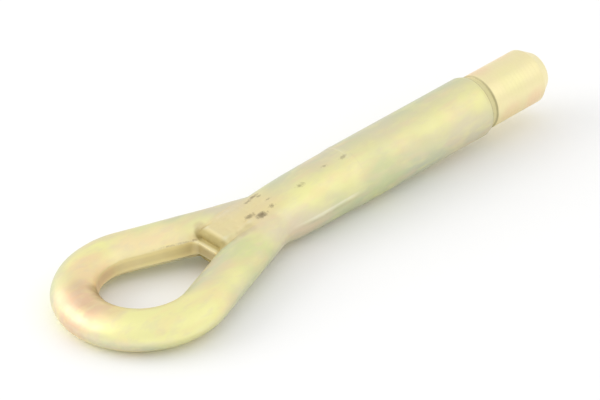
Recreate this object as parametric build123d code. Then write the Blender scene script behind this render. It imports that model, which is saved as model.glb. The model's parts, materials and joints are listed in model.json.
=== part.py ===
"""Screw-in tow eye for a car: one drop-forged steel piece with a turned shank and a threaded stud.

The thread axis is X and points out of the stud. The origin lies on that axis, in the plane of the shoulder
that seats against the car. The eye lies flat in the XY plane, which is the parting plane of the forging, so
the part is the same above and below it, and the same on both sides of the XZ plane.
"""

from build123d import *
from math import copysign, cos, pi, radians, sin, sqrt, tan
import os

# Turned end: shank, shoulder, relief groove and the stud at the thread's outer diameter.
thread_diameter = 18.0
stud_length = 27.5
tip_chamfer_length = 4.2
tip_chamfer_depth = 2.6
relief_width = 2.2
relief_depth = 0.5
shoulder_step = 1.0
shoulder_chamfer_length = 1.5
shoulder_chamfer_depth = 0.5
shank_length = 54.0

# Forged neck: a flat-topped tongue in the crotch of the eye that swells and rounds off towards the shank.
# A fullness of 2 makes a section a true ellipse, and a higher one makes it squarer.
neck_length = 55.7
ledge_width = 1.3
tongue_length = 14.4
tongue_width = 15.0
tongue_thickness = 10.4
tongue_fullness = 3.2
nose_reach = 6.0
nose_rise = 1.3
nose_radius = 2.0
tongue_root_width = 17.0
tongue_root_thickness = 12.8
tongue_root_fullness = 2.6
waist_gap = 14.0
waist_width = 19.8
waist_thickness = 17.2
waist_fullness = 2.1
collar_length = 13.0
collar_width = 20.3
collar_thickness = 18.8
turning_step = 0.1

# Forged eye: an oval bar round a circle, with two straight arms that thicken and close into the neck.
eye_outer_radius = 27.0
bar_width = 14.1
bar_thickness = 11.2
arm_half_angle = 21.7
arm_root_width = 14.1
arm_root_thickness = 13.0
arm_root_offset = 2.0
arm_bend_radius = 37.0

# Trimmed hole and blends: the punch leaves a flat land along the parting plane all round the hole.
trim_land_height = 4.0
web_edge_width = 9.45
hole_corner_radius = 2.6
blend_radius = 1.6

# Places along the axis that follow from the lengths above.
web_edge_x = -(shank_length + neck_length)
tongue_x = web_edge_x + ledge_width
tongue_root_x = tongue_x + tongue_length
waist_x = tongue_root_x + waist_gap
collar_x = -(shank_length + collar_length)
neck_end_x = -shank_length


def oval_section(x, width, thickness, fullness):
    """Cross-section of the neck: a smooth closed oval square to the axis."""
    count = 36
    points = []
    for i in range(count):
        angle = 2 * pi * i / count
        y = copysign(abs(cos(angle)) ** (2 / fullness), cos(angle)) * width / 2
        z = copysign(abs(sin(angle)) ** (2 / fullness), sin(angle)) * thickness / 2
        points.append((x, y, z))
    return make_face(Spline(points, periodic=True))


# Turned end: one profile spun about the thread axis.
thread_radius = thread_diameter / 2
shank_radius = thread_radius + shoulder_step
relief_radius = thread_radius - relief_depth
turned_profile = Polyline(
    (-shank_length, 0),
    (-shank_length, shank_radius),
    (-shoulder_chamfer_length, shank_radius),
    (0, shank_radius - shoulder_chamfer_depth),
    (0, relief_radius),
    (relief_width, relief_radius),
    (relief_width + relief_depth, thread_radius),
    (stud_length - tip_chamfer_length, thread_radius),
    (stud_length, thread_radius - tip_chamfer_depth),
    (stud_length, 0),
    close=True,
)
turned_end = revolve(make_face(turned_profile), Axis.X)

# Neck: one form through five ovals, up to the shank, which is turned from it with a fine step. Seen from the
# side, its nose is cut to an oval a little taller than the tongue, and the edge that this leaves is rounded.
neck_end_diameter = 2 * (shank_radius + turning_step)
neck_form = loft(
    [
        oval_section(web_edge_x, tongue_width, tongue_thickness, tongue_fullness),
        oval_section(tongue_root_x, tongue_root_width, tongue_root_thickness, tongue_root_fullness),
        oval_section(waist_x, waist_width, waist_thickness, waist_fullness),
        oval_section(collar_x, collar_width, collar_thickness, 2),
        oval_section(neck_end_x, neck_end_diameter, neck_end_diameter, 2),
    ]
)
nose_end_x = tongue_x + nose_reach
nose_profile = Pos(nose_end_x, 0) * Ellipse(nose_reach, tongue_thickness / 2 + nose_rise)
rest_size = (neck_end_x - nose_end_x, waist_thickness + collar_thickness + neck_end_diameter)
nose_profile += Pos((nose_end_x + neck_end_x) / 2, 0) * Rectangle(*rest_size)
nose_block = extrude(Plane.XZ * nose_profile, waist_width + collar_width + neck_end_diameter, both=True)
neck = neck_form & nose_block
neck = fillet(new_edges(neck_form, nose_block, combined=neck), nose_radius)

# Hole: its radius is where the land leaves the oval bar, and the eye's centre lies where tangents to it,
# along the arms, close in to the width of the web's edge.
slope = radians(arm_half_angle)
bar_centre_radius = eye_outer_radius - bar_width / 2
land_offset = bar_width / 2 * sqrt(1 - (trim_land_height / bar_thickness) ** 2)
hole_radius = bar_centre_radius - land_offset
eye_reach = (hole_radius / cos(slope) - web_edge_width / 2) / tan(slope)
eye_centre = Vector(web_edge_x - eye_reach, 0, 0)

# Centreline of one arm: it leaves the ring on a tangent, runs straight, then bends parallel to the axis.
arm_direction = Vector(cos(slope), -sin(slope), 0)
arm_normal = Vector(sin(slope), cos(slope), 0)
arm_start = eye_centre + arm_normal * bar_centre_radius
bend_start_y = arm_root_offset + arm_bend_radius * (1 - cos(slope))
arm_end = arm_start + arm_direction * ((arm_start.Y - bend_start_y) / sin(slope))
bend_centre = arm_end + arm_normal * arm_bend_radius

# Ring and arms: the oval bar turned about the eye's centre, drawn out along each arm and bent into the neck.
# The ring's section has its flat land, and the arms get theirs from the punch.
start_plane = Plane(arm_start, x_dir=arm_normal, z_dir=arm_direction)
end_plane = Plane(arm_end, x_dir=arm_normal, z_dir=arm_direction)
bar_oval = Ellipse(bar_width / 2, bar_thickness / 2)
land_cut = Pos(-(land_offset + bar_width / 2), 0) * Rectangle(bar_width, bar_thickness)
arm_root_section = end_plane * Ellipse(arm_root_width / 2, arm_root_thickness / 2)
ring = revolve(start_plane * (bar_oval - land_cut), Axis(eye_centre, (0, 0, 1)), 180 + 2 * arm_half_angle)
arm = loft([start_plane * bar_oval, arm_root_section])
bend = revolve(arm_root_section, Axis(bend_centre, (0, 0, 1)), arm_half_angle)
arms = Part() + [arm, bend, mirror(arm, Plane.XZ), mirror(bend, Plane.XZ)]

# Web: the thin flash in the crotch, of which the punch leaves only the ledge in front of the tongue.
web_end_x = web_edge_x - 2 * hole_corner_radius
web_width = web_edge_width + 4 * hole_corner_radius
web_section = Plane.YZ.offset(tongue_root_x) * Rectangle(web_width, trim_land_height)
web = extrude(web_section, tongue_root_x - web_end_x, dir=(-1, 0, 0))

# Punch: from the eye's centre along both arms to the straight edge of the web, with rounded corners.
hole_tangent = eye_centre + arm_normal * hole_radius
punch_corners = [
    eye_centre,
    hole_tangent,
    Vector(web_edge_x, web_edge_width / 2, 0),
    Vector(web_edge_x, -web_edge_width / 2, 0),
    Vector(hole_tangent.X, -hole_tangent.Y, 0),
]
punch_outline = make_face(Polyline(*punch_corners, close=True))
punch_outline = fillet(punch_outline.vertices().sort_by(Axis.X)[-2:], hole_corner_radius)
punch = extrude(punch_outline, arm_root_thickness, both=True)

# Forging: the arms, the tongue and the web flow into each other through one rolled blend, the punch opens the
# eye, and the ring closes it.
crotch = Part() + [arms, neck, web]
creases = new_edges(arms, neck, web, combined=crotch)
creases = creases.filter_by(lambda edge: edge.center().X > web_end_x + hole_corner_radius / 2)
crotch = fillet(creases, blend_radius) - punch

tow_eye = crotch + ring + turned_end
os.makedirs("parts", exist_ok=True)
export_step(tow_eye, "parts/tow_eye.step")
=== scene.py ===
"""Plated tow eye: the looks of a forged eye with a turned shank and a threaded stud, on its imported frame.

The file is laid out as an add-on and run as a script. X runs along the thread and out of the stud, Z is
square to the eye, and the shoulder's plane is at X = 0. Lengths are metres, except in the values and tables
below and in the shaders, where they are millimetres.
"""

import json
from math import ceil, cos, pi, radians, sin

import bmesh
import bpy
import numpy as np
from bpy.props import FloatProperty, FloatVectorProperty, IntProperty, PointerProperty
from mathutils import Matrix, Vector, noise


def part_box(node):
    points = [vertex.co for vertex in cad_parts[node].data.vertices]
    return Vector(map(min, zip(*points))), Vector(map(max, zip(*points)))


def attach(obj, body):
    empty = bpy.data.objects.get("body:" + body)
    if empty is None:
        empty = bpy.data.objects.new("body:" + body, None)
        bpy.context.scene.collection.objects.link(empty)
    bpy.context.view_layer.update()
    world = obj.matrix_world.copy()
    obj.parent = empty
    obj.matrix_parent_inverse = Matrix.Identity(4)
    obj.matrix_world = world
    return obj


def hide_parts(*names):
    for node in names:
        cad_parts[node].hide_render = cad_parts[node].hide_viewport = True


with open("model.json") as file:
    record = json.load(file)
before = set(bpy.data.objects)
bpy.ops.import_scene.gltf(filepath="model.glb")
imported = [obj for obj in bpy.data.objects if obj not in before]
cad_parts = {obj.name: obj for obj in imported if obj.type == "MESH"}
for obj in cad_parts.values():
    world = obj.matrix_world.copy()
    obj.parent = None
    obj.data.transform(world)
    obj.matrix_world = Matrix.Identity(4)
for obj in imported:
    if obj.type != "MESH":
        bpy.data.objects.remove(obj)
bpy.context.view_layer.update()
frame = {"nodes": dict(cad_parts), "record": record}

bl_info = {
    "name": "Plated tow eye",
    "version": (1, 0, 0),
    "blender": (4, 5, 0),
    "location": "View3D > Sidebar > Tow eye",
    "description": "Forged and turned tow eye with a yellow passivated zinc finish",
    "category": "Object",
}

MM = 0.001
NODE = "tow_eye"
BODY = "root"
PIECE = "plated_tow_eye"
mounts = {mount["name"]: mount for mount in frame["record"]["mounts"]}
node_low, node_high = (Vector(corner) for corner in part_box(NODE))

# Laps by which the forged and turned shapes reach into each other, so that they join cleanly.
BLANK_LAP = 4.0
SHANK_LAP = 2.0
RELIEF_LAP = 0.15
STUD_LAP = 0.6

# Turning cut: how far it stays under the shank's skin, and how far it reaches off the shank and along it.
TURNING_CLEARANCE = 0.02
TURNING_DEPTH = 4.0
TURNING_LENGTH = 12.0

# Distances within which points are welded.
BLANK_WELD = 0.001
THREAD_WELD = 0.002

# Angles in degrees at which the forged skin starts to be crisp and is fully so, and those of sharp edges.
CRISP_FROM, CRISP_FULL = 14, 30
SHARP_ANGLE = 32
TURNED_SHARP_ANGLE = 14
# Margins about the start of the shank, for faces that count as turned and for crisp turned edges.
TURNED_MARGIN = 0.01
CRISP_MARGIN = 0.5

# Regions of the forging, by X and by the distances from the planes Y = 0 and Z = 0. Each axis has the stretch
# over which the region's mask rises from 0 to 1 and the stretch over which it falls again, or None.
REGIONS = {
    "crotch": {"x": ((-111.0, -109.5), (-76.0, -68.0)), "y": (None, (10.0, 13.0)), "z": ((2.4, 3.0), None)},
    "arm roots": {"x": ((-101.0, -95.0), (-76.0, -68.0))},
    "beside tongue": {"y": ((5.5, 7.5), None)},
    "past tongue": {"x": ((-88.0, -82.0), None)},
    "valleys": {"x": (None, (-92.0, -84.0))},
    "tongue": {"x": ((-112.0, -107.0), (-90.0, -78.0)), "y": (None, (5.0, 7.0))},
    "raised tongue": {
        "x": ((-109.6, -108.4), (-98.0, -87.0)),
        "y": (None, (3.8, 6.2)),
        "z": ((2.6, 4.4), None),
    },
    "pushed nose": {
        "x": ((-109.6, -108.6), (-107.0, -104.5)),
        "y": (None, (3.8, 6.2)),
        "z": ((2.2, 4.0), (4.6, 5.9)),
    },
    "nose": {"x": ((-109.3, -108.8), (-107.6, -105.8)), "y": (None, (5.0, 7.0)), "z": ((2.0, 2.3), None)},
    "web": {"x": ((-113.0, -111.0), (-109.4, -108.9)), "y": (None, (5.5, 7.0))},
    "hole": {"x": (None, (-112.0, -107.0))},
    "trimmed arms": {"x": ((-145.0, -137.0), (-110.0, -107.0))},
    "burr by tongue": {"x": ((-124.0, -117.0), None)},
    "neck": {"x": ((-87.0, -74.0), (-61.0, -56.5))},
}

# How far a face looks away from the eye's middle, from -1 to 1: the mask of the seam rises over its stretch,
# and those of the burr, the land and the trim fall over theirs.
SEAM_SIDE = (0.3, 0.8)
BURR_SIDE = (-0.2, 0.2)
LAND_SIDE = (-0.95, -0.6)
TRIM_SIDE = (-0.5, -0.2)

# Marks that the forged skin carries as vertex attributes for its material.
MARKS = ("rubbed_and_highlit", "hollow", "warm", "trim", "burr", "seam", "nose")
# Bend of the skin, outward for worn edges, which are also painted as highlights, and inward for hollows,
# where the mark starts and is full.
RUBBED_HIGHLIT_BEND = (0.006, 0.03)
HOLLOW_BEND = (0.004, 0.02)

# Painted highlight and shade on the film: the facing that is painted lightest and yellowest, either way along
# it, and where along X the film starts to be painted thicker towards the eye, so that less painted shade lies
# there, where it has thickened fully, and by how much.
SHADING_FACING = (0.0, -0.62, 0.79)
EYE_FILM_AND_SHADING = (-118.0, -140.0, 0.38)
# Clouds that make the film thicker and thinner: fineness, shift of the noise and strength.
FILM_CLOUDS = ((0.03, 11.0, 0.5), (0.11, 47.0, 0.22))
# Tints of a thicker film, which also carry the painted highlight and shade by facing, each with the value at
# which it starts to show and at which it is full.
FILM_AND_SHADING_STEPS = (("pale", 0.3, 0.62), ("straw", 0.62, 0.86), ("lemon", 0.86, 1.06))
# Strength of the warm tint where the skin is marked as warm.
WARM_SHARE = 0.85
# Patches of film: tint, place, radius and strength. A later patch lies over an earlier one, and each has its
# full strength out to its core, which is a share of the radius. Some patches are painted highlight and
# painted shade, as marked below.
FILM_AND_SHADING_PATCHES = (
    ("rose", -150.5, 8.0, 5.3, 12.0, 0.4),
    ("rose", -157.5, 1.5, 4.5, 12.0, 0.85),
    ("rose", -153.5, -6.5, 5.5, 8.0, 0.4),
    # Painted shade: these rosy brown patches darken the eye's far end and the rounded inner edge of the hole
    # there.
    ("tan", -159.0, 1.0, 4.0, 9.5, 0.5),
    ("tan", -150.0, 6.5, 5.0, 7.5, 0.6),
    ("tan", -152.0, -1.5, 5.4, 6.5, 0.4),
    ("tan", -150.8, -7.5, 5.2, 5.0, 0.3),
    ("rose", -141.0, 12.0, 2.0, 12.0, 0.5),
    # Painted highlight: these yellow patches lie where highlights fall, over the film's own yellow.
    ("lemon", -130.6, -25.0, 3.0, 11.0, 0.5),
    ("lemon", -122.0, 13.0, 4.5, 14.0, 0.5),
    ("brass", -128.0, 12.8, 3.0, 9.0, 0.9),
    ("brass", -118.5, 9.4, 3.4, 9.0, 0.9),
    ("green", -152.0, 17.2, 4.1, 8.0, 0.3),
    ("green", -104.0, -14.0, 4.5, 13.0, 0.6),
    ("mauve", -95.0, 8.5, 6.2, 10.0, 0.6),
    ("mauve", -87.5, -10.5, 1.9, 9.0, 0.5),
    ("mauve", -92.5, -9.5, 5.0, 7.5, 0.55),
    ("mauve", -81.0, -9.6, -1.0, 10.0, 0.5),
    ("green", -63.0, -9.8, -2.5, 9.0, 0.45),
    # Painted highlight: this yellow patch lies where a highlight falls, over the film's own yellow.
    ("lemon", -60.0, -7.8, 6.3, 9.0, 0.5),
    ("mauve", -59.0, 5.1, 8.7, 11.0, 0.4),
    ("green", -47.0, -9.8, -1.0, 13.0, 0.65),
    ("mauve", -39.0, 3.0, 9.5, 11.0, 0.3),
    ("mauve", -12.0, -9.7, -1.6, 13.0, 0.5),
    ("rose", 6.0, 4.5, 7.8, 7.0, 0.5),
    ("rose", 17.0, 6.0, 6.7, 7.0, 0.35),
    ("rose", 9.0, -8.6, -2.5, 6.0, 0.3),
    ("rose", 19.0, -8.5, -3.0, 6.0, 0.5),
    # Painted highlight: these yellow patches lie where highlights fall, over the film's own yellow.
    ("lemon", 12.0, -6.0, 6.7, 7.0, 0.35),
    ("lemon", -139.0, -23.0, 4.5, 15.0, 0.6),
    # Painted shade: brown in the far corner of the hole.
    ("umber_stain_and_shade", -146.9, 5.1, 2.0, 5.0, 0.75),
    ("umber_stain_and_shade", -148.6, 1.0, 3.6, 4.2, 0.65),
    ("umber_stain_and_shade", -148.6, -3.0, 3.8, 3.2, 0.45),
    # Painted shade: brown in the creases between the tongue and the arms.
    ("umber_stain_and_shade", -106.6, 6.1, 4.9, 2.6, 0.5),
    ("umber_stain_and_shade", -108.2, 5.0, 3.3, 2.2, 0.4),
    ("umber_stain_and_shade", -107.8, -5.3, 4.2, 2.2, 0.35),
    ("umber_stain_and_shade", -104.6, -6.2, 5.2, 2.4, 0.3),
    ("umber_stain_and_shade", -101.4, -6.5, 5.8, 2.6, 0.34),
    ("umber_stain_and_shade", -98.0, -6.4, 6.2, 2.8, 0.26),
)
PATCH_CORE = 0.3
# Mottles over the whole film: tint, fineness, shift of the noise and strength. They are drawn out along X and
# calmer on warm faces.
FILM_MOTTLES = (("rose", 0.16, 5.0, 0.3), ("mauve", 0.45, 23.0, 0.25), ("lemon", 0.3, 61.0, 0.3))
MOTTLE_STRETCH = (0.4, 1.0, 1.0)
MOTTLE_CALM = 0.65

# Marks that tint the forged plating: mark, tint and strength. The olive brown on the nose is painted shade,
# and the paler metal on worn edges is partly a painted highlight.
MARK_TINTS = (("rubbed_and_highlit", "bare_and_highlit", 0.4), ("hollow", "gold", 0.4), ("nose", "nose_shade_bronze", 0.85))
# Lines along trimmed edges: tint, mark that masks it, height off the middle plane, half width, strength, and
# how much of it is broken away. Some are painted highlight and painted shade, as marked.
TRIM_LINES = (
    # A paler trimmed rim, with a painted highlight along its rounded edge.
    ("brass", "trim", 2.05, 0.55, 0.55, 0.0),
    # Painted shade on the hole's trimmed wall.
    ("umber_stain_and_shade", "trim", 0.0, 1.7, 0.2, 0.0),
    ("umber_stain_and_shade", "burr", 2.6, 0.35, 0.6, 1.0),
    # A paler seam, with a painted highlight along its ridge.
    ("bare_and_highlit", "seam", 0.75, 0.45, 0.6, 0.2),
    # Painted shade along the lower side of the seam.
    ("umber_stain_and_shade", "seam", -0.35, 0.6, 0.2, 0.4),
)
LINE_CORE = 0.3
LINE_BREAKS = (0.4, 0.62)
# Dark specks: place, radius and strength. They are drawn out along X and have a ragged rim.
DARK_SPECKS = (
    (-91.7, -4.4, 6.6, 2.0, 0.9),
    (-94.5, -2.4, 6.7, 1.7, 0.7),
    (-90.3, 3.5, 6.7, 1.3, 0.6),
    (-87.2, 4.2, 6.9, 1.6, 0.7),
    (-86.3, 2.8, 7.3, 1.1, 0.5),
    (-85.6, -0.8, 7.6, 1.0, 0.45),
    (-87.0, -3.5, 7.1, 1.2, 0.6),
    (-75.1, -3.2, 8.4, 1.4, 0.5),
    (-63.8, -1.9, 9.4, 1.1, 0.35),
    (-57.0, -2.4, 9.7, 1.3, 0.4),
)
SPECK_CORE = 0.2
SPECK_STRETCH = (0.6, 1.2, 1.0)
SPECK_RAGGEDNESS = 2.4
# Painted shade: dark lines in the turned corners at the shoulder and the relief groove: place along X, half
# width and strength.
CORNER_SHADE_LINES = ((0.12, 0.5, 0.5), (2.5, 0.4, 0.26))
CORNER_SHADE_CORE = 0.2
# Relief groove: its middle along X, where it starts to fade and where it has gone, off the middle.
GROOVE_PLACE, GROOVE_CORE, GROOVE_RIM = 1.4, 1.2, 1.6
GROOVE_PALENESS = 0.5

# Roughness of the two platings, and what some places add to it.
FORGED_ROUGHNESS = 0.51
TURNED_ROUGHNESS = 0.5
STUD_POLISH = -0.12
GROOVE_DULLNESS = 0.35
NOSE_DULLNESS = 0.3
SPECK_DULLNESS = 0.3
# Most of a noise texture's values lie in this span.
NOISE_SPAN = (0.3, 0.7)

# Floor: the lowest place of the eye's far end, the gap under the part, and half the floor's width in metres.
EYE_REST = (-154.0, 0.0, -5.6)
FLOOR_GAP = 0.05
FLOOR_HALF_WIDTH = 4.0
# Lamps: name, direction from the part, and width and height, all at one distance, in metres.
RIGHT_LAMP = ("right_lamp", (0.4, -0.62, 0.62), (1.3, 1.0))
LEFT_LAMP = ("left_lamp", (-0.6, 0.6, 0.5), (1.1, 0.8))
LAMP_DISTANCE = 1.2


def length(name, value_mm, text):
    """A length property, given in millimetres and kept in metres."""
    return FloatProperty(name=name, description=text, default=value_mm * MM, unit="LENGTH", precision=5)


def colour(name, value, text):
    """A colour property in linear values."""
    limits = {"size": 3, "min": 0, "max": 1}
    return FloatVectorProperty(name=name, description=text, default=value, subtype="COLOR", **limits)


def angle(name, degrees, text):
    """An angle property, given in degrees and kept in radians."""
    return FloatProperty(name=name, description=text, default=radians(degrees), subtype="ANGLE")


def power(name, watts, text):
    """A lamp's power."""
    return FloatProperty(name=name, description=text, default=watts, min=0, unit="POWER")


class TurnedEndSizes(bpy.types.PropertyGroup):
    """Sizes of the turned shank and the threaded stud."""

    shank_start: length("Shank start", -54.0, "Where the turned shank starts, along X")
    shank_radius: length("Shank radius", 10.0, "Radius of the turned shank")
    chamfer_length: length("Shoulder chamfer length", 1.5, "Length of the chamfer on the shoulder")
    chamfer_depth: length("Shoulder chamfer depth", 0.5, "Depth of the chamfer on the shoulder")
    relief_width: length("Relief width", 2.2, "Width of the groove beside the shoulder")
    relief_radius: length("Relief radius", 8.5, "Radius of the relief groove")
    thread_radius: length("Thread radius", mounts["thread"]["dims"]["r_mm"], "Radius over the crests")
    thread_pitch: length("Thread pitch", 1.5, "Distance from one crest to the next")
    thread_depth: length("Thread depth", 0.035, "Depth of the plated thread")
    thread_run_out: length("Thread run-out", 2.0, "Length over which the thread fades in")
    stud_end: length("Stud end", node_high.x / MM, "Where the stud ends, along X")
    tip_chamfer_length: length("Tip chamfer length", 4.2, "Length of the chamfer on the stud")
    tip_chamfer_depth: length("Tip chamfer depth", 2.6, "Depth of the chamfer on the stud")
    row_spacing: length("Row spacing", 2.0, "Length of the faces along the shank")
    segments: IntProperty(name="Segments", description="Faces round the turned end", default=128, min=32)
    rows_per_turn: IntProperty(name="Rows per turn", description="Rows of faces a turn", default=10, min=6)


class ForgedSkinSizes(bpy.types.PropertyGroup):
    """Sizes of the forged skin and its marks."""

    cell: length("Cell", 0.45, "Size of the skin's faces")
    swell_height: length("Swell height", 0.09, "Height of the slow unevenness")
    swell_size: length("Swell size", 13.0, "Length of the slow unevenness")
    peel_height: length("Peel height", 0.012, "Height of the fine grain of the skin")
    peel_size: length("Peel size", 1.8, "Length of the fine grain")
    pit_depth: length("Pit depth", 0.12, "Depth of the scale pits on the tongue")
    pit_size: length("Pit size", 1.3, "Length of the scale pits")
    seam_height: length("Seam height", 0.22, "Height of the parting seam")
    seam_width: length("Seam width", 0.7, "Half width of the parting seam")
    seam_patch: length("Seam patch", 7.0, "Length over which the seam's height changes")
    valley_depth: length("Valley depth", 0.6, "Most that the valleys sink")
    tongue_rise: length("Tongue rise", 0.8, "Most that the tongue is raised")
    nose_push: length("Nose push", 0.7, "Most that the nose is pushed forward")
    burr_height: length("Burr height", 0.12, "Height of the burr round the hole")
    burr_width: length("Burr width", 0.4, "Half width of the burr")
    burr_patch: length("Burr patch", 5.0, "Length over which the burr's height changes")
    land_half_height: length("Land half height", 2.05, "Half the height of the trimmed land")
    eye_centre: length("Eye centre", -134.0, "Centre of the eye, along X")
    tongue_start: length("Tongue start", -106.5, "Where the tongue's face begins, along X")
    tongue_end: length("Tongue end", -84.0, "Where the tongue's face ends, along X")
    tongue_half_width: length("Tongue half width", 5.5, "Half the width of the tongue's face")


class PlatingColours(bpy.types.PropertyGroup):
    """Tints of the passivated film, from the thinnest to the thickest, and of what lies on it; some carry
    painted highlight and painted shade.
    """

    # Painted shade: this greyish green is also the darker tint of faces turned across the lit facing.
    thin_film_and_shade: colour("Thin film", (0.64, 0.665, 0.51), "Greyish green of the thinnest film")
    pale: colour("Pale film", (0.70, 0.70, 0.47), "Pale straw")
    straw: colour("Straw film", (0.80, 0.76, 0.46), "Straw, the main tint")
    # Painted highlight: this yellow is also the tint of faces turned to the lit facing, and of patches where
    # highlights fall.
    lemon: colour("Lemon film", (0.92, 0.89, 0.44), "Clear yellow of a fuller film")
    rose: colour("Rose film", (0.97, 0.68, 0.47), "Rosy tint of the thickest film")
    # Painted shade: this rosy brown only darkens the eye's far end and the inner edge of the hole there.
    tan: colour("Tan film", (0.70, 0.51, 0.33), "Rosy brown at the end of the eye")
    mauve: colour("Mauve film", (0.78, 0.69, 0.54), "Greyish pink in the rainbow")
    green: colour("Green film", (0.66, 0.71, 0.40), "Clear green in the rainbow")
    gold: colour("Gold", (0.86, 0.73, 0.41), "Warm tint of hollows, the tongue and trimmed faces")
    brass: colour("Brass", (0.97, 0.86, 0.50), "Bright warm tint of the stud and the far arm")
    # Painted shade: this olive brown darkens the tongue's nose, which lies in shade.
    nose_shade_bronze: colour("Bronze film", (0.56, 0.48, 0.23), "Olive brown of the tongue's nose")
    # This brown is a stain on the burr line, and painted shade in the hole's far corner, in the creases
    # beside the tongue, on the hole's wall and under the seam.
    umber_stain_and_shade: colour("Umber", (0.42, 0.31, 0.17), "Brown stain along edges and in corners")
    # A dark brown for the specks, and for the painted shade in the turned corners.
    dark_marks: colour("Dark marks", (0.20, 0.15, 0.08), "Dark residue in pits and corners")
    # Paler metal: wear on edges, and a painted highlight along ridges and the seam.
    bare_and_highlit: colour("Bare", (0.90, 0.87, 0.70), "Paler metal along rubbed edges")


class StageSettings(bpy.types.PropertyGroup):
    """Floor, lights and camera."""

    floor_colour: colour("Floor", (0.97, 0.97, 0.97), "Colour of the floor")
    sky_strength: FloatProperty(name="Sky", description="Strength of the even light", default=0.9, min=0)
    right_power: power("Right", 0.85, "Power of the right lamp")
    left_power: power("Left", 5.0, "Power of the left lamp")
    aim_along: length("Aim along", -72.64, "Place of the camera's aim, along X")
    aim_height: length("Aim height", 0.57, "Height of the camera's aim")
    azimuth: angle("Azimuth", -41.1, "Camera azimuth")
    elevation: angle("Elevation", 34.0, "Camera elevation")
    roll: angle("Roll", -3.17, "Camera roll")
    distance: length("Distance", 974.3, "Distance from the camera to its aim")
    lens: FloatProperty(name="Lens", description="Focal length in millimetres", default=196.5, min=1)


def new_object(name, data):
    """A new object in the scene for this mesh, lamp or camera."""
    obj = bpy.data.objects.new(name, data)
    bpy.context.scene.collection.objects.link(obj)
    return obj


def settle(obj):
    """Turn the object's modifiers into its plain mesh."""
    graph = bpy.context.evaluated_depsgraph_get()
    made = bpy.data.meshes.new_from_object(obj.evaluated_get(graph))
    obj.modifiers.clear()
    old = obj.data
    obj.data = made
    bpy.data.meshes.remove(old)


def combine(body, tool, operation):
    """Join the tool to the body or cut it away, and drop the tool."""
    modifier = body.modifiers.new(operation, "BOOLEAN")
    modifier.operation = operation
    modifier.solver = "MANIFOLD"
    modifier.object = tool
    settle(body)
    bpy.data.objects.remove(tool)


def outward_mesh(bm, mesh):
    """Write the shape to the mesh with its faces outward, and free it."""
    bmesh.ops.recalc_face_normals(bm, faces=bm.faces)
    bm.to_mesh(mesh)
    bm.free()
    return mesh


def lathe(name, profile, segments, closed=False):
    """A turned solid about X from (x, radius) points, which run from axis to axis or close on themselves."""
    bm = bmesh.new()
    rings = []
    for x, radius in profile:
        count = segments if radius else 1
        angles = [2 * pi * i / segments for i in range(count)]
        rings.append([bm.verts.new((x, radius * cos(a), radius * sin(a))) for a in angles])
    following = rings[1:] + rings[:1] if closed else rings[1:]
    for low, high in zip(rings, following):
        for i in range(segments):
            j = (i + 1) % segments
            corners = [low[i % len(low)], high[i % len(high)], high[j % len(high)], low[j % len(low)]]
            bm.faces.new(list(dict.fromkeys(corners)))
    return new_object(name, outward_mesh(bm, bpy.data.meshes.new(name)))


class Nodes:
    """A node tree with short calls for adding nodes and wiring their inputs."""

    def __init__(self, tree):
        self.tree = tree

    def add(self, kind, *values, **settings):
        """Add a node; each value is a socket to link, a constant, or None to leave the input alone."""
        node = self.tree.nodes.new(kind)
        for name, value in settings.items():
            setattr(node, name, value)
        for socket, value in zip(node.inputs, values):
            self.feed(socket, value)
        return node

    def feed(self, socket, value):
        """Link a socket to this input, or set the input to a constant."""
        if isinstance(value, bpy.types.NodeSocket):
            self.tree.links.new(value, socket)
        elif value is not None:
            socket.default_value = value

    def maths(self, operation, *values):
        """Arithmetic with numbers."""
        return self.add("ShaderNodeMath", *values, operation=operation).outputs[0]

    def vector(self, operation, *values):
        """Arithmetic with vectors that gives a vector."""
        return self.add("ShaderNodeVectorMath", *values, operation=operation).outputs["Vector"]

    def measure(self, operation, *values):
        """Arithmetic with vectors that gives a number."""
        return self.add("ShaderNodeVectorMath", *values, operation=operation).outputs["Value"]

    def off(self, value, middle):
        """How far a number is from the middle."""
        return self.maths("ABSOLUTE", self.maths("SUBTRACT", value, middle))

    def scaled(self, value, low, high, start=0.0, end=1.0, shape="LINEAR"):
        """Map a value from low..high to start..end, clamped."""
        node = self.add("ShaderNodeMapRange", value, low, high, start, end, interpolation_type=shape)
        return node.outputs[0]

    def spot(self, away, core, rim, share):
        """Soft mask, from the given share within the core to nothing at the rim."""
        return self.scaled(away, core, rim, share, 0.0, "SMOOTHSTEP")

    def cloud(self, place, fineness, detail, roughness):
        """Soft noise about 0.5."""
        return self.add("ShaderNodeTexNoise", place, None, fineness, detail, roughness).outputs[0]

    def blend(self, factor, first, second):
        """Mix two colours."""
        node = self.add("ShaderNodeMix", factor, data_type="RGBA")
        for socket, value in ((node.inputs["A"], first), (node.inputs["B"], second)):
            self.feed(socket, value if isinstance(value, bpy.types.NodeSocket) else (*value[:3], 1.0))
        return node.outputs["Result"]


def new_group(name, kind, inputs, outputs):
    """A new node group with these sockets: its nodes, and the values that it is given."""
    tree = bpy.data.node_groups.new(name, kind)
    for side, sockets in (("INPUT", inputs), ("OUTPUT", outputs)):
        for socket, value in sockets.items():
            tree.interface.new_socket(socket, in_out=side, socket_type="NodeSocket" + value)
    return Nodes(tree), tree.nodes.new("NodeGroupInput").outputs


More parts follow.
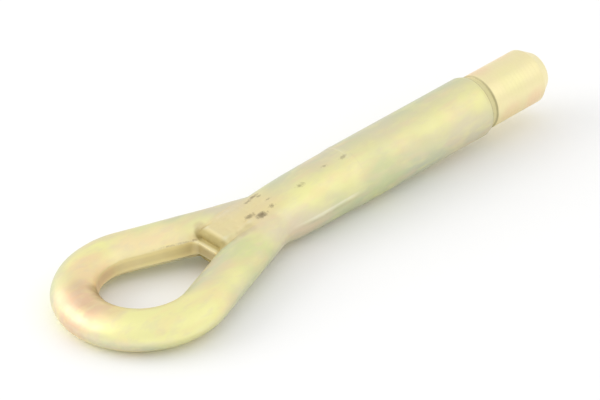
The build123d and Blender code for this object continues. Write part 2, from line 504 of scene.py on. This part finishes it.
def thread_tree():
    """Geometry Nodes tree of a threaded stud: a grid wound on a helix, with rows that follow the crests."""
    lengths = ("Start", "End", "Radius", "Pitch", "Depth", "Run-out", "Neck Radius", "Neck End")
    inputs = dict.fromkeys(lengths + ("Chamfer Length", "Chamfer Depth"), "Float")
    inputs |= {"Segments": "Int", "Rows per Turn": "Int", "Material": "Material"}
    n, given = new_group("threaded_stud", "GeometryNodeTree", inputs, {"Geometry": "Geometry"})

    # One more turn at each end than the stud is long, so that the slanted rows cover it, and a row per cap.
    span = n.maths("SUBTRACT", given["End"], given["Start"])
    turns = n.maths("ADD", n.maths("CEIL", n.maths("DIVIDE", span, given["Pitch"])), 2.0)
    rows = n.maths("MULTIPLY", turns, given["Rows per Turn"])
    columns = n.maths("ADD", given["Segments"], 1.0)
    grid = n.add("GeometryNodeMeshGrid", 1.0, 1.0, columns, n.maths("ADD", rows, 3.0))
    uv = n.add("ShaderNodeSeparateXYZ", grid.outputs["UV Map"]).outputs
    row = n.maths("MULTIPLY", uv["Y"], n.maths("ADD", rows, 2.0))
    winding = n.maths("DIVIDE", n.maths("SUBTRACT", row, 1.0), given["Rows per Turn"])
    winding = n.maths("MINIMUM", n.maths("MAXIMUM", winding, 0.0), turns)

    # Along the axis a row climbs by one pitch each turn, held to the stud's two ends.
    climb = n.maths("SUBTRACT", n.maths("ADD", winding, uv["X"]), 1.0)
    x = n.maths("MULTIPLY_ADD", climb, given["Pitch"], given["Start"])
    x = n.maths("MINIMUM", n.maths("MAXIMUM", x, given["Start"]), given["End"])

    # Radius: crests and roots joined by smooth flanks, faded in at the neck and cut by both cones.
    root_end, crest_start = 0.15, 0.85
    wave = n.maths("MULTIPLY", n.maths("PINGPONG", winding, 0.5), 2.0)
    groove = n.spot(wave, root_end, crest_start, 1.0)
    fade = n.scaled(x, given["Neck End"], n.maths("ADD", given["Neck End"], given["Run-out"]))
    cut = n.maths("MULTIPLY", n.maths("MULTIPLY", groove, given["Depth"]), fade)
    crest = n.maths("SUBTRACT", given["Radius"], cut)
    neck_cone = n.maths("ADD", given["Neck Radius"], n.maths("SUBTRACT", x, given["Neck End"]))
    tip_start = n.maths("SUBTRACT", given["End"], given["Chamfer Length"])
    tip_cut = n.scaled(x, tip_start, given["End"], 0.0, given["Chamfer Depth"])
    tip_cone = n.maths("SUBTRACT", given["Radius"], tip_cut)
    radius = n.maths("MINIMUM", crest, n.maths("MINIMUM", neck_cone, tip_cone))

    # The first and the last row are drawn in to the axis and close the ends.
    last = n.maths("ADD", rows, 1.5)
    wall = n.maths("MULTIPLY", n.maths("GREATER_THAN", row, 0.5), n.maths("LESS_THAN", row, last))
    radius = n.maths("MULTIPLY", radius, wall)

    around = n.maths("MULTIPLY", uv["X"], 2 * pi)
    y = n.maths("MULTIPLY", radius, n.maths("COSINE", around))
    z = n.maths("MULTIPLY", radius, n.maths("SINE", around))
    place = n.add("ShaderNodeCombineXYZ", x, y, z).outputs[0]
    shape = n.add("GeometryNodeSetPosition", grid.outputs["Mesh"], None, place).outputs[0]
    shape = n.add("GeometryNodeMergeByDistance", shape, None, THREAD_WELD * MM).outputs[0]
    shape = n.add("GeometryNodeRealizeInstances", shape).outputs[0]
    shape = n.add("GeometryNodeSetMaterial", shape, None, given["Material"]).outputs[0]
    n.add("NodeGroupOutput", shape)
    return n.tree


def threaded_stud(sizes, material):
    """The stud from inside the relief groove to its tip, as a plain closed mesh."""
    stud = new_object("stud", bpy.data.meshes.new("stud"))
    modifier = stud.modifiers.new("thread", "NODES")
    modifier.node_group = thread_tree()
    values = {
        "Start": sizes.relief_width - STUD_LAP * MM,
        "End": sizes.stud_end,
        "Radius": sizes.thread_radius,
        "Pitch": sizes.thread_pitch,
        "Depth": sizes.thread_depth,
        "Run-out": sizes.thread_run_out,
        "Neck Radius": sizes.relief_radius,
        "Neck End": sizes.relief_width,
        "Chamfer Length": sizes.tip_chamfer_length,
        "Chamfer Depth": sizes.tip_chamfer_depth,
        "Segments": sizes.segments,
        "Rows per Turn": sizes.rows_per_turn,
        "Material": material,
    }
    for item in modifier.node_group.interface.items_tree:
        if item.in_out == "INPUT":
            modifier[item.identifier] = values[item.name]
    settle(stud)
    bm = bmesh.new()
    bm.from_mesh(stud.data)
    outward_mesh(bm, stud.data)
    return stud


def turned_shank(sizes):
    """The shank from inside the neck to inside the stud, with its shoulder and relief groove."""
    inside = sizes.shank_start - SHANK_LAP * MM
    relief_end = sizes.relief_width + RELIEF_LAP * MM
    plain_length = -sizes.chamfer_length - inside
    count = ceil(plain_length / sizes.row_spacing)
    profile = [(inside, 0)]
    profile += [(inside + plain_length * i / count, sizes.shank_radius) for i in range(count + 1)]
    profile += [
        (0, sizes.shank_radius - sizes.chamfer_depth),
        (0, sizes.relief_radius),
        (relief_end, sizes.relief_radius),
        (relief_end, 0),
    ]
    return lathe("shank", profile, sizes.segments)


def turning_cut(sizes):
    """What the lathe takes off the forging beyond the start of the shank, a hair under the shank's skin."""
    bore = sizes.shank_radius - TURNING_CLEARANCE * MM
    outside = sizes.shank_radius + TURNING_DEPTH * MM
    near, far = sizes.shank_start, sizes.shank_start + TURNING_LENGTH * MM
    profile = ((near, bore), (near, outside), (far, outside), (far, bore))
    return lathe("turning_cut", profile, sizes.segments, closed=True)


def blank_mesh(sizes):
    """A merged copy of the node's mesh, cut off a little past the start of the shank and closed there."""
    bm = bmesh.new()
    bm.from_mesh(frame["nodes"][NODE].data)
    bmesh.ops.remove_doubles(bm, verts=bm.verts, dist=BLANK_WELD * MM)
    everything = bm.verts[:] + bm.edges[:] + bm.faces[:]
    cut_at = (sizes.shank_start + BLANK_LAP * MM, 0, 0)
    bmesh.ops.bisect_plane(bm, geom=everything, plane_co=cut_at, plane_no=(1, 0, 0), clear_outer=True)
    rim = [edge for edge in bm.edges if edge.is_boundary]
    bmesh.ops.holes_fill(bm, edges=rim, sides=0)
    return outward_mesh(bm, bpy.data.meshes.new("blank"))


class Skin:
    """Vertex arrays of a mesh, for moving its points along their normals."""

    PULL, PUSH = 0.5, -0.52
    SEED_STEP = (17.3, 5.1, 11.7)

    def __init__(self, mesh):
        self.mesh = mesh
        self.points = self.read(mesh.vertices, "co", 3)
        self.normals = self.read(mesh.vertex_normals, "vector", 3)
        self.edges = self.read(mesh.edges, "vertices", 2, np.int32)
        self.degree = np.bincount(self.edges.ravel(), minlength=len(self.points))[:, None]

    @staticmethod
    def read(items, name, width, kind=np.float32):
        """One row of numbers per item."""
        values = np.empty(len(items) * width, kind)
        items.foreach_get(name, values)
        return values.reshape(-1, width).astype(np.float64 if kind is np.float32 else kind)

    def neighbours(self, values):
        """Mean of each point's neighbours."""
        total = np.zeros_like(values)
        np.add.at(total, self.edges[:, 0], values[self.edges[:, 1]])
        np.add.at(total, self.edges[:, 1], values[self.edges[:, 0]])
        return total / self.degree

    def turn(self):
        """Widest angle, in radians, between a point's normal and its neighbours' normals."""
        a, b = self.edges.T
        between = np.arccos(np.clip((self.normals[a] * self.normals[b]).sum(1), -1, 1))
        widest = np.zeros(len(self.points))
        np.maximum.at(widest, a, between)
        np.maximum.at(widest, b, between)
        return widest[:, None]

    def relax(self, freedom, rounds):
        """Smooth out facets without shrinking; freedom is 0 where an edge stays crisp."""
        for _ in range(rounds):
            for share in (self.PULL, self.PUSH):
                self.points += share * freedom * (self.neighbours(self.points) - self.points)

    def keep_in_box(self):
        """Hold every point inside the node's box."""
        self.points = np.clip(self.points, node_low, node_high)

    def store(self):
        """Write the points to the mesh and read its new normals."""
        self.mesh.vertices.foreach_set("co", self.points.astype(np.float32).ravel())
        self.mesh.update()
        self.normals = self.read(self.mesh.vertex_normals, "vector", 3)

    def pattern(self, size, seed, octaves=1):
        """Smooth noise from -1 to 1 over the points, with features of about this size."""
        offset = Vector(seed * step for step in self.SEED_STEP)
        scaled = [Vector(p) / size + offset for p in self.points]
        if octaves == 1:
            return np.array([noise.noise(p) for p in scaled])
        return np.array([noise.fractal(p, 1.0, 2.0, octaves) for p in scaled])

    def side(self, eye_centre):
        """How far each normal points away from the middle of the eye and the axis, from -1 to 1."""
        away = np.stack([np.minimum(0, self.points[:, 0] - eye_centre), self.points[:, 1]], 1)
        away /= np.maximum(np.linalg.norm(away, axis=1), 1e-9)[:, None]
        return (away * self.normals[:, :2]).sum(1)

    def region(self, name):
        """Mask of a named region of the forging over the points."""
        x, y, z = self.points.T
        distances = {"x": x, "y": np.abs(y), "z": np.abs(z)}
        mask = np.ones(len(self.points))
        for axis, (rise, fall) in REGIONS[name].items():
            if rise:
                mask *= smooth_step(rise[0] * MM, rise[1] * MM, distances[axis])
            if fall:
                mask *= 1 - smooth_step(fall[0] * MM, fall[1] * MM, distances[axis])
        return mask


def smooth_step(low, high, value):
    """Rise smoothly from 0 at the low value to 1 at the high one."""
    t = np.clip((value - low) / (high - low), 0, 1)
    return t * t * (3 - 2 * t)


def raise_tongue(skin, sizes):
    """Stand the tongue proud of the arms beside it, with a steep nose, on both sides."""
    x, y, z = skin.points.T
    height = np.abs(z) + sizes.tongue_rise * skin.region("raised tongue")
    skin.points = np.stack([x, y, np.sign(z) * height], 1)
    skin.points[:, 0] -= sizes.nose_push * skin.region("pushed nose")


def smooth_skin(skin, sizes, crotch):
    """Take the facets out of the skin, keep its crisp edges, and raise the tongue."""
    crisp = smooth_step(radians(CRISP_FROM), radians(CRISP_FULL), skin.turn())
    crisp = np.maximum(crisp, skin.neighbours(crisp))

    # Nothing in the crotch is crisp above the web, and the arms run smoothly into the neck beside the tongue.
    skin.relax((1 - crisp) * (1 - crotch[:, None]) + crotch[:, None], rounds=14)
    beside = np.maximum(skin.region("beside tongue"), skin.region("past tongue"))
    beside *= skin.region("arm roots")
    skin.relax(beside[:, None], rounds=60)
    raise_tongue(skin, sizes)
    skin.relax(freedom=0.35, rounds=2)
    skin.store()


def valley_lift(skin, sizes, crotch):
    """Valleys on both sides of the tongue: hollows of the rolled blend, sunk further."""
    soft_rounds, soft_share, gain = 25, 0.5, 1.5
    soft = skin.points.copy()
    for _ in range(soft_rounds):
        soft += soft_share * (skin.neighbours(soft) - soft)
    sunk = gain * ((skin.points - soft) * skin.normals).sum(1)
    return np.clip(sunk, -sizes.valley_depth, 0) * crotch * skin.region("valleys")


def seam_lift(skin, sizes):
    """Parting seam: a low trimmed band on the outer side, strongest along the neck and worn on the eye."""
    inner_edge, outer_edge = sizes.seam_width - 0.2 * MM, sizes.seam_width + 0.3 * MM
    left_on_eye, mean, swing = 0.3, 0.75, 0.45
    seam = 1 - smooth_step(inner_edge, outer_edge, np.abs(skin.points[:, 2]))
    seam *= smooth_step(*SEAM_SIDE, skin.side(sizes.eye_centre))
    seam *= left_on_eye + (1 - left_on_eye) * skin.region("neck")
    uneven = mean + swing * skin.pattern(sizes.seam_patch, seed=3)
    return sizes.seam_height * seam * uneven


def burr_lift(skin, sizes):
    """Burr: the fine lip that the punch leaves along both edges of the land."""
    mean, swing = 0.7, 0.5
    off_edge = np.abs(skin.points[:, 2]) - sizes.land_half_height
    edge = np.exp(-((off_edge / sizes.burr_width) ** 2))
    in_eye = skin.region("hole") * (1 - smooth_step(*BURR_SIDE, skin.side(sizes.eye_centre)))
    uneven = mean + swing * skin.pattern(sizes.burr_patch, seed=4)
    return sizes.burr_height * edge * in_eye * uneven


def pit_lift(skin, sizes):
    """Scale pits pressed into the tongue's face, on both sides."""
    start_fade, end_fade, side_fade = 2 * MM, 6 * MM, 1 * MM
    level_from, level_full = 0.6, 0.85
    rim, floor = 0.05, 0.5
    x, y, _ = skin.points.T
    start, end, half_width = sizes.tongue_start, sizes.tongue_end, sizes.tongue_half_width
    on_face = smooth_step(start, start + start_fade, x) * (1 - smooth_step(end - end_fade, end, x))
    on_face *= 1 - smooth_step(half_width - side_fade, half_width, np.abs(y))
    on_face *= smooth_step(level_from, level_full, np.abs(skin.normals[:, 2]))
    pits = smooth_step(rim, floor, skin.pattern(sizes.pit_size, seed=5))
    return -sizes.pit_depth * on_face * pits


def forged_blank(sizes, turned):
    """The forged eye and neck with an even skin, a trimmed seam, a burr, and scale pits on the tongue."""
    blank = new_object("blank", blank_mesh(turned))
    remesh = blank.modifiers.new("skin", "REMESH")
    remesh.mode = "VOXEL"
    remesh.voxel_size = sizes.cell
    settle(blank)
    skin = Skin(blank.data)
    crotch = skin.region("crotch")
    smooth_skin(skin, sizes, crotch)
    lift = sizes.swell_height * skin.pattern(sizes.swell_size, seed=1, octaves=2)
    lift += sizes.peel_height * skin.pattern(sizes.peel_size, seed=2)
    lift += valley_lift(skin, sizes, crotch)
    lift += seam_lift(skin, sizes)
    lift += burr_lift(skin, sizes)
    lift += pit_lift(skin, sizes)
    skin.points += skin.normals * lift[:, None]
    skin.keep_in_box()
    skin.store()
    return blank


def crisp_turning(mesh, start):
    """Keep the turned chamfers crisp beyond this place along X."""
    bm = bmesh.new()
    bm.from_mesh(mesh)
    for edge in bm.edges:
        beyond = min(vert.co.x for vert in edge.verts) > start
        if beyond and edge.calc_face_angle(0) > radians(TURNED_SHARP_ANGLE):
            edge.smooth = False
    bm.to_mesh(mesh)
    bm.free()


def mark_surface(skin, sizes, turned):
    """Store the marks that the forged material needs, and which way the surface leans."""
    bend_rounds, bend_kept, lean_rounds = 3, 0.4, 4
    step_near, step_far, tongue_warmth = 1 * MM, 2 * MM, 0.9
    points, mesh = skin.points, skin.mesh
    side = skin.side(sizes.eye_centre)
    bend = ((skin.neighbours(points) - points) * skin.normals).sum(1) / MM
    for _ in range(bend_rounds):
        bend = bend_kept * bend + (1 - bend_kept) * skin.neighbours(bend[:, None])[:, 0]
    off_step = smooth_step(step_near, step_far, np.abs(points[:, 0] - turned.shank_start))
    web, nose = skin.region("web"), skin.region("nose")
    land = np.maximum(skin.region("hole") * (1 - smooth_step(*LAND_SIDE, side)), web)
    trim = np.maximum(skin.region("trimmed arms") * (1 - smooth_step(*TRIM_SIDE, side)), web)
    marks = {
        # Paler outward bends: wear on the edges, and a painted highlight along the ridges.
        "rubbed_and_highlit": smooth_step(*RUBBED_HIGHLIT_BEND, -bend) * off_step * (1 - nose),
        "hollow": smooth_step(*HOLLOW_BEND, bend) * off_step,
        "warm": np.maximum(land, tongue_warmth * skin.region("tongue")),
        "trim": trim,
        "burr": trim * skin.region("burr by tongue"),
        "seam": skin.region("neck") * smooth_step(*SEAM_SIDE, side),
        # The nose mark carries the painted shade on the tongue's nose, and its dullness.
        "nose": nose,
    }
    for name in MARKS:
        layer = mesh.attributes.new(name, "FLOAT", "POINT")
        layer.data.foreach_set("value", marks[name].astype(np.float32))
    lean = skin.normals.copy()
    for _ in range(lean_rounds):
        lean = skin.neighbours(lean)
    layer = mesh.attributes.new("lean", "FLOAT_VECTOR", "POINT")
    layer.data.foreach_set("vector", lean.astype(np.float32).ravel())


def film_and_shading_group(colours):
    """Shader group: the passivated film's tint, which runs from green to yellow as the film gets thicker.

    Part of its run is painted highlight and painted shade: faces that look up and to the front, or down and
    to the back, are painted with the fullest film, lightest and yellowest, faces across them greyest and
    darker, and the film is painted fuller all round the eye, so that less painted shade lies there. Clouds
    vary it at random.
    """
    inputs = {"Place": "Vector", "Lean": "Vector", "Warm": "Float", "Warm Tint": "Color"}
    n, given = new_group("passivated_film_and_shading", "ShaderNodeTree", inputs, {"Tint": "Color"})
    along = n.add("ShaderNodeSeparateXYZ", given["Place"]).outputs["X"]
    # Painted highlight and shade: the nearer a face turns to the facing, either way, the lighter and yellower
    # it is painted.
    facing_light = n.measure("DOT_PRODUCT", n.vector("NORMALIZE", given["Lean"]), SHADING_FACING)
    start, full, more = EYE_FILM_AND_SHADING
    # Painted fuller film all round the eye, so that less painted shade lies on its sides.
    round_eye_shading = n.scaled(along, start, full, 0.0, more, "SMOOTHSTEP")
    film_and_facing = n.maths("ADD", n.maths("ABSOLUTE", facing_light), round_eye_shading)
    for fineness, shift, share in FILM_CLOUDS:
        cloud = n.cloud(n.vector("ADD", given["Place"], (shift,) * 3), fineness, detail=1.5, roughness=0.5)
        film_and_facing = n.maths("MULTIPLY_ADD", n.maths("SUBTRACT", cloud, 0.5), share, film_and_facing)
    tint = colours.thin_film_and_shade
    for name, low, high in FILM_AND_SHADING_STEPS:
        tint = n.blend(n.scaled(film_and_facing, low, high), tint, getattr(colours, name))
    tint = n.blend(n.maths("MULTIPLY", given["Warm"], WARM_SHARE), tint, given["Warm Tint"])
    for name, x, y, z, size, share in FILM_AND_SHADING_PATCHES:
        away = n.measure("DISTANCE", given["Place"], (x, y, z))
        tint = n.blend(n.spot(away, PATCH_CORE * size, size, share), tint, getattr(colours, name))
    mottle_from, mottle_full = 0.48, 0.7
    calm = n.maths("MULTIPLY_ADD", given["Warm"], -MOTTLE_CALM, 1.0)
    for name, fineness, shift, share in FILM_MOTTLES:
        place = n.vector("MULTIPLY", n.vector("ADD", given["Place"], (shift,) * 3), MOTTLE_STRETCH)
        cloud = n.cloud(place, fineness, detail=2.0, roughness=0.6)
        mottle = n.scaled(cloud, mottle_from, mottle_full, 0.0, share)
        tint = n.blend(n.maths("MULTIPLY", mottle, calm), tint, getattr(colours, name))
    n.add("NodeGroupOutput", tint)
    return n.tree


def grain_group():
    """Shader group: the plating's fine grain, as a height and an uneven dullness."""
    outputs = {"Height": "Float", "Dullness": "Float"}
    n, given = new_group("plating_grain", "ShaderNodeTree", {"Place": "Vector"}, outputs)
    fine_share, broad_share = 0.3, 0.7
    fine = n.cloud(given["Place"], fineness=2.6, detail=3.0, roughness=0.6)
    broad = n.cloud(given["Place"], fineness=0.22, detail=2.0, roughness=0.5)
    dullness = n.maths("MULTIPLY_ADD", broad, broad_share, n.maths("MULTIPLY", fine, fine_share))
    n.add("NodeGroupOutput", fine, dullness)
    return n.tree


def clean_plating(n, place, groups, lean, warm, warm_tint, middle):
    """Tint, roughness about a middle value and grain height, before turning or forging leaves its marks."""
    less, more = 0.06, 0.08
    film = n.add("ShaderNodeGroup", place, lean, warm, (*warm_tint, 1.0), node_tree=groups["film"])
    grain = n.add("ShaderNodeGroup", place, node_tree=groups["grain"]).outputs
    roughness = n.scaled(grain["Dullness"], *NOISE_SPAN, middle - less, middle + more)
    return film.outputs["Tint"], roughness, grain["Height"]


def turned_finish(n, place, colours, groups):
    """Turned faces: fine rings, a polished stud, a pale dull groove and painted shade in the corners."""
    stud_from, stud_full = -0.4, 0.4
    along = n.add("ShaderNodeSeparateXYZ", place).outputs["X"]
    stud = n.scaled(along, stud_from, stud_full)
    # The turned faces lean straight out from the axis, for the painted highlight and shade by facing.
    lean = n.vector("MULTIPLY", place, (0.0, 1.0, 1.0))
    tint, roughness, height = clean_plating(n, place, groups, lean, stud, colours.brass, TURNED_ROUGHNESS)
    fineness, waver, detail, depth = 2.2, 1.5, 2.0, 0.5
    rings = n.add("ShaderNodeTexWave", place, fineness, waver, detail, bands_direction="X")
    height = n.maths("MULTIPLY_ADD", rings.outputs[1], depth, height)
    roughness = n.maths("MULTIPLY_ADD", stud, STUD_POLISH, roughness)
    groove = n.scaled(n.off(along, GROOVE_PLACE), GROOVE_CORE, GROOVE_RIM, 1.0, 0.0)
    roughness = n.maths("MULTIPLY_ADD", groove, GROOVE_DULLNESS, roughness)
    tint = n.blend(n.maths("MULTIPLY", groove, GROOVE_PALENESS), tint, colours.pale)
    for x, width, share in CORNER_SHADE_LINES:
        tint = n.blend(n.spot(n.off(along, x), CORNER_SHADE_CORE * width, width, share), tint, colours.dark_marks)
    return tint, roughness, height, 1.0


def forged_finish(n, place, colours, groups):
    """Forged faces: worn edges with painted highlights, a dull nose in painted shade, trim lines with painted
    highlight and shade, a stained burr line and dark specks.
    """
    marks = {mark: n.add("ShaderNodeAttribute", attribute_name=mark).outputs["Fac"] for mark in MARKS}
    lean = n.add("ShaderNodeAttribute", attribute_name="lean").outputs["Vector"]
    warm = marks["warm"]
    tint, roughness, height = clean_plating(n, place, groups, lean, warm, colours.gold, FORGED_ROUGHNESS)
    for mark, name, share in MARK_TINTS:
        tint = n.blend(n.maths("MULTIPLY", marks[mark], share), tint, getattr(colours, name))
    roughness = n.maths("MULTIPLY_ADD", marks["nose"], NOSE_DULLNESS, roughness)
    upright = n.add("ShaderNodeSeparateXYZ", place).outputs["Z"]
    off_middle = n.maths("ABSOLUTE", upright)
    heights = {"trim": off_middle, "burr": off_middle, "seam": upright}
    breaks = n.cloud(place, fineness=0.9, detail=3.0, roughness=0.6)
    for name, mark, z, width, share, broken in TRIM_LINES:
        line = n.spot(n.off(heights[mark], z), LINE_CORE * width, width, share)
        kept = n.scaled(breaks, *LINE_BREAKS, 1.0 - broken, 1.0)
        line = n.maths("MULTIPLY", n.maths("MULTIPLY", line, marks[mark]), kept)
        tint = n.blend(line, tint, getattr(colours, name))
    dark_marks = speck_mask(n, place)
    tint = n.blend(dark_marks, tint, colours.dark_marks)
    roughness = n.maths("MULTIPLY_ADD", dark_marks, SPECK_DULLNESS, roughness)
    return tint, roughness, height, n.maths("SUBTRACT", 1.0, dark_marks)


def speck_mask(n, place):
    """Dark ragged specks about a few places on the neck and the tongue."""
    middle = 0.42
    cloud = n.cloud(place, fineness=1.1, detail=3.0, roughness=0.6)
    ragged = n.maths("MULTIPLY", n.maths("SUBTRACT", cloud, middle), SPECK_RAGGEDNESS)
    dark_marks = 0.0
    for x, y, z, size, share in DARK_SPECKS:
        offset = n.vector("MULTIPLY", n.vector("SUBTRACT", place, (x, y, z)), SPECK_STRETCH)
        away = n.maths("ADD", n.measure("LENGTH", offset), ragged)
        dark_marks = n.maths("MAXIMUM", dark_marks, n.spot(away, SPECK_CORE * size, size, share))
    return dark_marks


def plated_material(name, colours, groups, finish):
    """Yellow passivated zinc on steel, with a turned or a forged finish."""
    material = bpy.data.materials.new(name)
    material.use_nodes = True
    n = Nodes(material.node_tree)
    place = n.vector("MULTIPLY", n.add("ShaderNodeTexCoord").outputs["Object"], (1 / MM,) * 3)
    tint, roughness, height, metallic = finish(n, place, colours, groups)
    bump = n.add("ShaderNodeBump")
    for socket, value in (("Strength", 0.25), ("Distance", 0.02 * MM), ("Height", height)):
        n.feed(bump.inputs[socket], value)
    shader = material.node_tree.nodes["Principled BSDF"].inputs
    n.feed(shader["Base Color"], tint)
    n.feed(shader["Roughness"], roughness)
    n.feed(shader["Metallic"], metallic)
    n.feed(shader["Normal"], bump.outputs["Normal"])
    return material


class TOWEYE_OT_build(bpy.types.Operator):
    """Build the plated tow eye on its node: the forged skin, the turned shank and the threaded stud"""

    bl_idname = "toweye.build"
    bl_label = "Build tow eye"

    def execute(self, context):
        scene = context.scene
        sizes, skin_sizes, colours = scene.turned_end_sizes, scene.forged_skin_sizes, scene.plating_colours
        groups = {"film": film_and_shading_group(colours), "grain": grain_group()}
        forged = plated_material("forged_plating", colours, groups, forged_finish)
        turned = plated_material("turned_plating", colours, groups, turned_finish)
        piece = forged_blank(skin_sizes, sizes)
        combine(piece, turning_cut(sizes), "DIFFERENCE")
        combine(piece, turned_shank(sizes), "UNION")
        combine(piece, threaded_stud(sizes, turned), "UNION")
        piece.name = PIECE
        mesh = piece.data
        mesh.name = PIECE
        mesh.materials.clear()
        mesh.materials.append(forged)
        mesh.materials.append(turned)
        for face in mesh.polygons:
            face.material_index = int(face.center.x > sizes.shank_start - TURNED_MARGIN * MM)
        mesh.shade_smooth()
        mesh.set_sharp_from_angle(angle=radians(SHARP_ANGLE))
        crisp_turning(mesh, sizes.shank_start + CRISP_MARGIN * MM)
        skin = Skin(mesh)
        skin.keep_in_box()
        skin.store()
        mark_surface(skin, skin_sizes, sizes)
        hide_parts(NODE)
        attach(piece, BODY)
        return {"FINISHED"}


def floor_material(tone):
    """Plain pale floor with a faint unevenness."""
    unevenness, dullness = 0.01, 0.9
    material = bpy.data.materials.new("pale_floor")
    material.use_nodes = True
    n = Nodes(material.node_tree)
    place = n.add("ShaderNodeTexCoord").outputs["Object"]
    cloud = n.cloud(place, fineness=3.0, detail=2.0, roughness=0.5)
    shade = n.scaled(cloud, *NOISE_SPAN, 0.0, unevenness)
    shader = material.node_tree.nodes["Principled BSDF"].inputs
    n.feed(shader["Base Color"], n.blend(shade, tone, (1.0, 1.0, 1.0)))
    n.feed(shader["Roughness"], dullness)
    n.feed(shader["Specular IOR Level"], 0.0)
    return material


def floor_mesh(tone, shank_start):
    """A wide floor under the eye's far end and the neck's edge at the shank, on which the part lies."""
    under_eye = Vector(value * MM for value in EYE_REST)
    under_neck = Vector((shank_start, 0, node_low.z))
    along = (under_neck - under_eye).normalized() * FLOOR_HALF_WIDTH
    across = Vector((0, FLOOR_HALF_WIDTH, 0))
    middle = (under_eye + under_neck) / 2 - Vector((0, 0, FLOOR_GAP * MM))
    mesh = bpy.data.meshes.new("floor")
    corners = [middle + along * a + across * b for a, b in ((-1, -1), (1, -1), (1, 1), (-1, 1))]
    mesh.from_pydata(corners, [], [(0, 1, 2, 3)])
    mesh.materials.append(floor_material(tone))
    return mesh


def area_light(name, direction, size, aim, watts):
    """A large soft lamp that shines on the aim from this direction."""
    lamp = bpy.data.lights.new(name, "AREA")
    lamp.shape = "RECTANGLE"
    lamp.size, lamp.size_y = size
    lamp.energy = watts
    place = Vector(direction).normalized() * LAMP_DISTANCE
    facing = place.to_track_quat("Z", "Y").to_matrix().to_4x4()
    new_object(name, lamp).matrix_world = Matrix.Translation(aim + place) @ facing


def photo_camera(settings, aim):
    """The camera of the photograph, which looks at the aim and is rolled a little."""
    az, el = settings.azimuth, settings.elevation
    back = Vector((sin(az) * cos(el), -cos(az) * cos(el), sin(el)))
    facing = back.to_track_quat("Z", "Y").to_matrix() @ Matrix.Rotation(settings.roll, 3, "Z")
    lens = bpy.data.cameras.new("photo_view")
    lens.sensor_fit = "HORIZONTAL"
    lens.sensor_width = 36.0
    lens.lens = settings.lens
    lens.clip_start = 0.01
    camera = new_object("photo_view", lens)
    camera.matrix_world = Matrix.Translation(aim + back * settings.distance) @ facing.to_4x4()
    return camera


class TOWEYE_OT_stage(bpy.types.Operator):
    """Set the floor, the lights and the camera"""

    bl_idname = "toweye.stage"
    bl_label = "Set stage"

    def execute(self, context):
        scene = context.scene
        settings = scene.tow_eye_stage
        mesh = floor_mesh(settings.floor_colour, scene.turned_end_sizes.shank_start)
        new_object("floor", mesh)

        scene.world = bpy.data.worlds.new("studio")
        scene.world.use_nodes = True
        sky = scene.world.node_tree.nodes["Background"]
        sky.inputs["Color"].default_value = (1, 1, 1, 1)
        sky.inputs["Strength"].default_value = settings.sky_strength

        aim = Vector((settings.aim_along, 0, settings.aim_height))
        area_light(*RIGHT_LAMP, aim, settings.right_power)
        area_light(*LEFT_LAMP, aim, settings.left_power)
        scene.camera = photo_camera(settings, aim)
        scene.view_settings.view_transform = "Standard"
        return {"FINISHED"}


class TOWEYE_PT_panel(bpy.types.Panel):
    """Sidebar panel with the sizes, the colours and the two operators"""

    bl_idname = "TOWEYE_PT_panel"
    bl_label = "Tow eye"
    bl_space_type = "VIEW_3D"
    bl_region_type = "UI"
    bl_category = "Tow eye"

    def draw(self, context):
        for title, group in SETTINGS.items():
            box = self.layout.box()
            box.label(text=title.replace("_", " ").capitalize())
            for name in group.__annotations__:
                box.prop(getattr(context.scene, title), name)
        self.layout.operator(TOWEYE_OT_build.bl_idname)
        self.layout.operator(TOWEYE_OT_stage.bl_idname)


SETTINGS = {
    "turned_end_sizes": TurnedEndSizes,
    "forged_skin_sizes": ForgedSkinSizes,
    "plating_colours": PlatingColours,
    "tow_eye_stage": StageSettings,
}
CLASSES = (*SETTINGS.values(), TOWEYE_OT_build, TOWEYE_OT_stage, TOWEYE_PT_panel)


def register():
    for cls in CLASSES:
        bpy.utils.register_class(cls)
    for name, group in SETTINGS.items():
        setattr(bpy.types.Scene, name, PointerProperty(type=group))


def unregister():
    for name in SETTINGS:
        delattr(bpy.types.Scene, name)
    for cls in reversed(CLASSES):
        bpy.utils.unregister_class(cls)


def main():
    register()
    bpy.ops.toweye.build()
    bpy.ops.toweye.stage()


if __name__ == "__main__":
    main()
